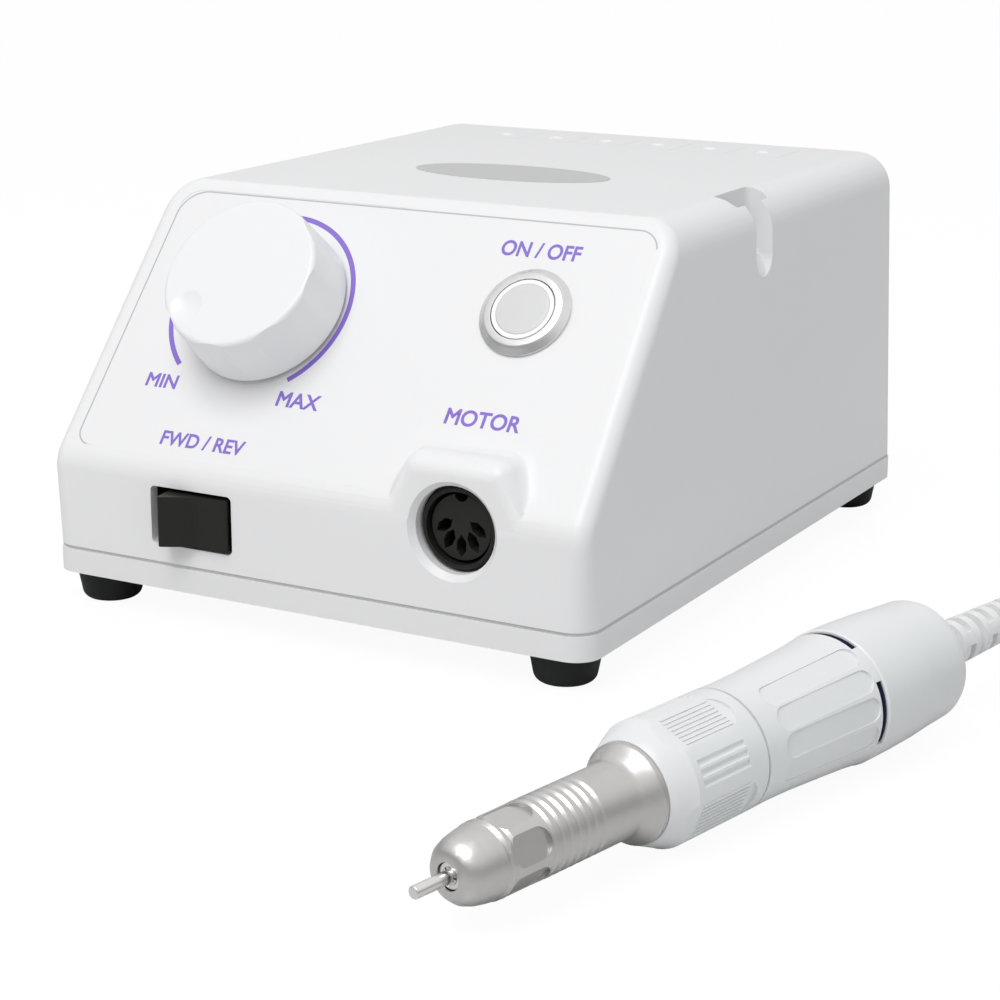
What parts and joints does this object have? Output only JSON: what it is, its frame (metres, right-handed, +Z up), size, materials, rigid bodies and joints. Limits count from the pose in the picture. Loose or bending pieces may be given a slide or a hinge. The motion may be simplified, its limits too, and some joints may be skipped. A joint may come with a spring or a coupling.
{
  "type": "nail drill machine",
  "caption": "Control box with a sloped panel, speed knob, lit push button, rocker and handpiece rest, beside its motor handpiece on a coiled cord.",
  "frame": {"origin": "on the table, under the middle of the control box", "axes": "+Z up, the box's front faces -Y, +X to the right seen from the front"},
  "size_m": [0.2885, 0.2992, 0.093],
  "materials": {
    "shell_white": "satin moulded",
    "overlay_white": "printed film",
    "badge_grey": "flat grey",
    "foot_rubber": "moulded rubber",
    "screw_steel": "plated",
    "cup_white": "moulded",
    "pot_metal": "plated",
    "nut_steel": "plated",
    "switch_steel": "turned, polished",
    "cap_aluminium": "satin",
    "ring_light": "frosted",
    "black_plastic": "moulded",
    "insert_grey": "moulded",
    "contact_brass": "plated",
    "board_green": "coated",
    "sink_aluminium": "anodised",
    "can_blue": "enamel",
    "core_iron": "laminated",
    "coil_brown": "taped",
    "brush_grey": "pressed carbon",
    "knob_white": "polished",
    "hand_white": "polished",
    "boot_white": "soft moulded",
    "tie_grey": "moulded strap",
    "nose_steel": "turned",
    "shaft_steel": "ground"
  },
  "bodies": {
    "box": {"upper_housing": "shell_white", "base_tray": "shell_white", "front_overlay": "overlay_white", "badge_plate": "badge_grey", "rubber_feet": "foot_rubber", "case_screws": "screw_steel", "bit_cups": "cup_white", "pot_body": "pot_metal", "pot_nut": "nut_steel", "switch_barrel": "switch_steel", "switch_nut": "nut_steel", "rocker_frame": "black_plastic", "socket_shell": "black_plastic", "socket_insert": "insert_grey", "socket_contacts": "contact_brass", "socket_nut": "black_plastic", "control_board": "board_green", "board_screws": "screw_steel", "heat_sink": "sink_aluminium", "power_transistor": "black_plastic", "capacitors": "can_blue", "transformer_core": "core_iron", "transformer_coil": "coil_brown", "transformer_strap": "pot_metal", "strap_screws": "screw_steel", "inlet_body": "black_plastic", "inlet_pins": "nut_steel", "pedal_jack": "black_plastic", "jack_nut": "nut_steel"},
    "knob": {"speed_knob": "knob_white", "pot_shaft": "nut_steel"},
    "button": {"button_cap": "cap_aluminium", "light_ring": "ring_light"},
    "rocker_key": {"rocker": "black_plastic"},
    "handpiece": {"nose_housing": "nose_steel", "front_bearings": "shaft_steel", "motor_sleeve": "hand_white", "motor_can": "can_blue", "magnets": "core_iron", "brush_plate": "coil_brown", "brushes": "brush_grey", "rear_bearing": "shaft_steel", "rear_cap": "hand_white", "strain_relief": "boot_white", "cord_lead": "boot_white", "cord_coil": "boot_white", "cord_tail": "boot_white", "cord_tie": "tie_grey", "plug_grip": "black_plastic", "plug_shell": "shaft_steel", "plug_insulator": "black_plastic", "plug_pins": "contact_brass"},
    "chuck": {"chuck_ring": "hand_white"},
    "spindle_set": {"spindle": "shaft_steel", "collet": "shaft_steel", "blank_pin": "shaft_steel", "rotor_shaft": "shaft_steel", "armature": "core_iron", "commutator": "contact_brass"}
  },
  "joints": [
    {"name": "knob_turn", "type": "hinge", "parent": "box", "child": "knob", "pos_m": [-0.0262, -0.06107, 0.06835], "axis": [0, 0.768, -0.6404], "range_deg": [0, 280]},
    {"name": "power_press", "type": "slide", "parent": "box", "child": "button", "axis": [0, 0.768, -0.6404], "range_m": [0, 0.0018], "stiffness_N_per_m": 1200, "springref_m": -0.0008},
    {"name": "rocker_tip", "type": "hinge", "parent": "box", "child": "rocker_key", "pos_m": [-0.0299, -0.0823, 0.0246], "axis": [0, 0, 1], "range_deg": [-28, 0]},
    {"name": "handpiece_lift", "type": "slide", "parent": "box", "child": "handpiece", "axis": [0, 0, 1], "range_m": [0, 0.15]},
    {"name": "chuck_twist", "type": "hinge", "parent": "handpiece", "child": "chuck", "pos_m": [0.1125, -0.15562, 0.01186], "axis": [0.2469, 0.9686, 0.0295], "range_deg": [0, 60]},
    {"name": "spindle_spin", "type": "hinge", "parent": "handpiece", "child": "spindle_set", "pos_m": [0.1125, -0.15562, 0.01186], "axis": [0.2469, 0.9686, 0.0295], "continuous": true}
  ]
}
